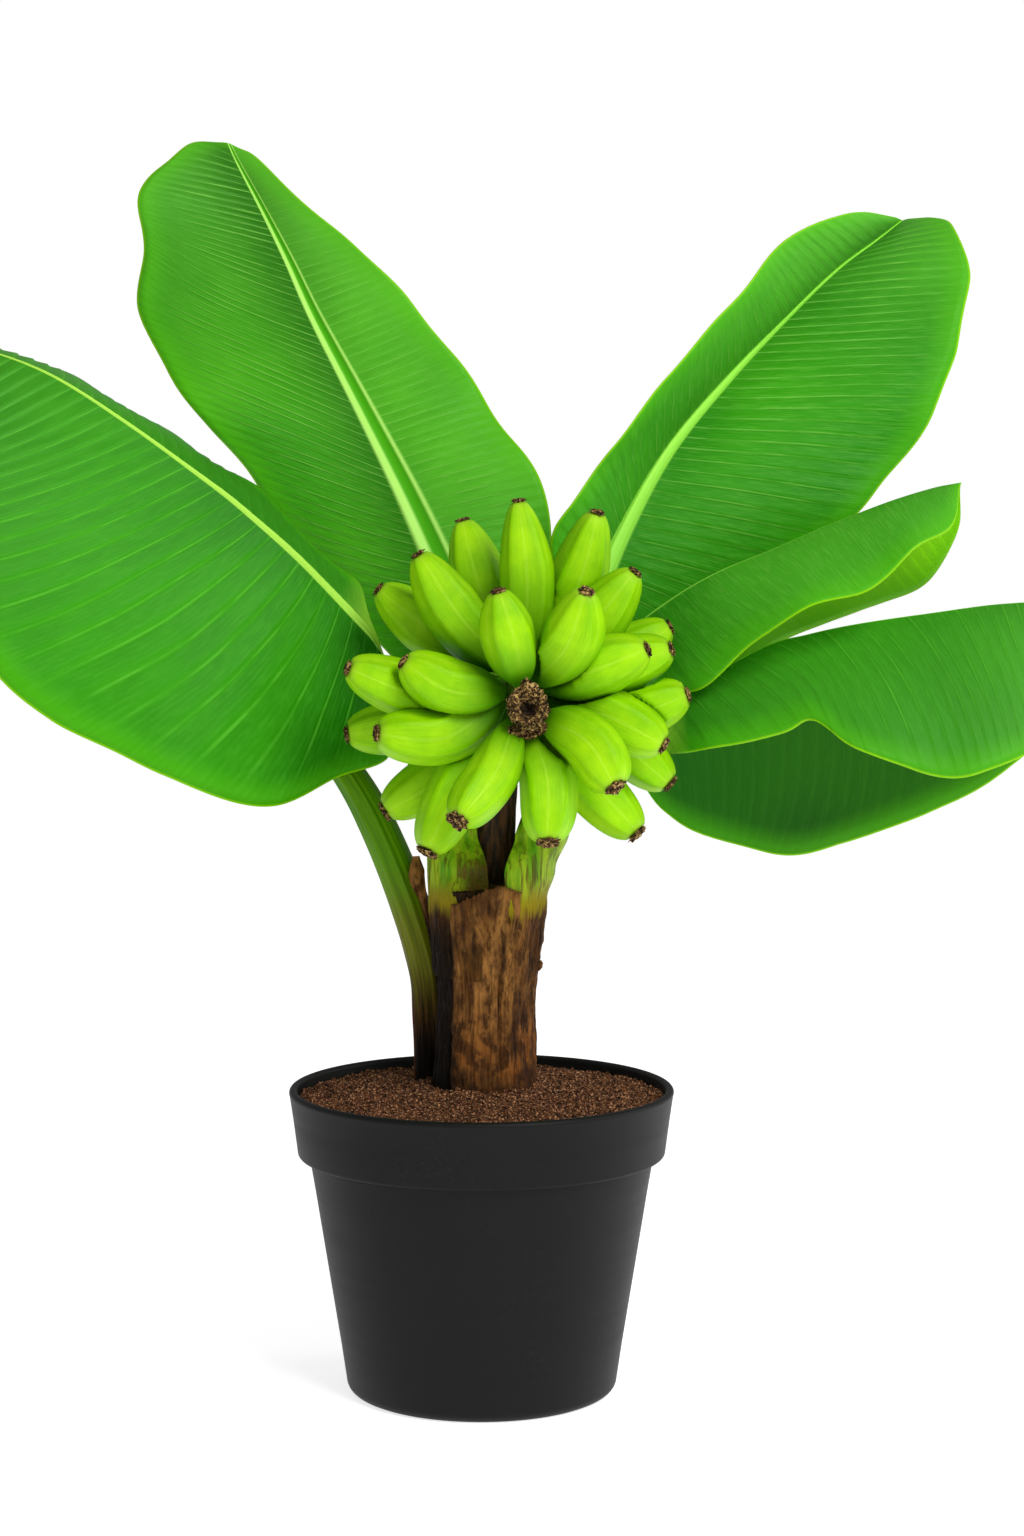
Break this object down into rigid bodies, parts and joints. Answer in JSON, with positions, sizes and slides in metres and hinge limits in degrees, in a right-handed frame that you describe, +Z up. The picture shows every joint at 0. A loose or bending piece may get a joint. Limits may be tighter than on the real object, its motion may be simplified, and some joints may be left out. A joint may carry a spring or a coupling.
{
  "type": "potted banana plant",
  "caption": "Dwarf banana plant with broad arching leaves and a bunch of green bananas, growing from a short bark-covered trunk in a round plastic nursery pot.",
  "frame": {"origin": "centre of the pot's flat underside", "axes": "+Z up along the pot's axis, -Y towards the side that the bunch hangs on, +X to the right from there"},
  "size_m": [1.0023, 0.411, 1.057],
  "materials": {
    "charcoal_plastic": "satin",
    "coir_soil": "matte",
    "trunk_bark": "matte",
    "dry_sheath": "matte",
    "green_leaf": "satin",
    "shoot_skin": "satin",
    "stalk_bark": "matte",
    "green_peel": "satin"
  },
  "bodies": {
    "root": {"pot": "charcoal_plastic", "soil": "coir_soil", "trunk": "trunk_bark", "dry_sheath_front": "dry_sheath", "dry_sheath_right": "dry_sheath", "dry_sheath_back": "dry_sheath", "fruit_stalk": "stalk_bark", "side_shoot": "shoot_skin", "leaf_upper_left": "green_leaf", "leaf_upper_right": "green_leaf", "leaf_right": "green_leaf", "leaf_lower_right": "green_leaf", "leaf_left": "green_leaf", "banana_01": "green_peel", "banana_02": "green_peel", "banana_03": "green_peel", "banana_04": "green_peel", "banana_05": "green_peel", "banana_06": "green_peel", "banana_07": "green_peel", "banana_08": "green_peel", "banana_09": "green_peel", "banana_10": "green_peel", "banana_11": "green_peel", "banana_12": "green_peel", "banana_13": "green_peel", "banana_14": "green_peel", "banana_15": "green_peel", "banana_16": "green_peel", "banana_17": "green_peel", "banana_18": "green_peel", "banana_19": "green_peel", "banana_20": "green_peel", "banana_21": "green_peel", "banana_22": "green_peel", "banana_23": "green_peel", "banana_24": "green_peel"}
  },
  "joints": []
}
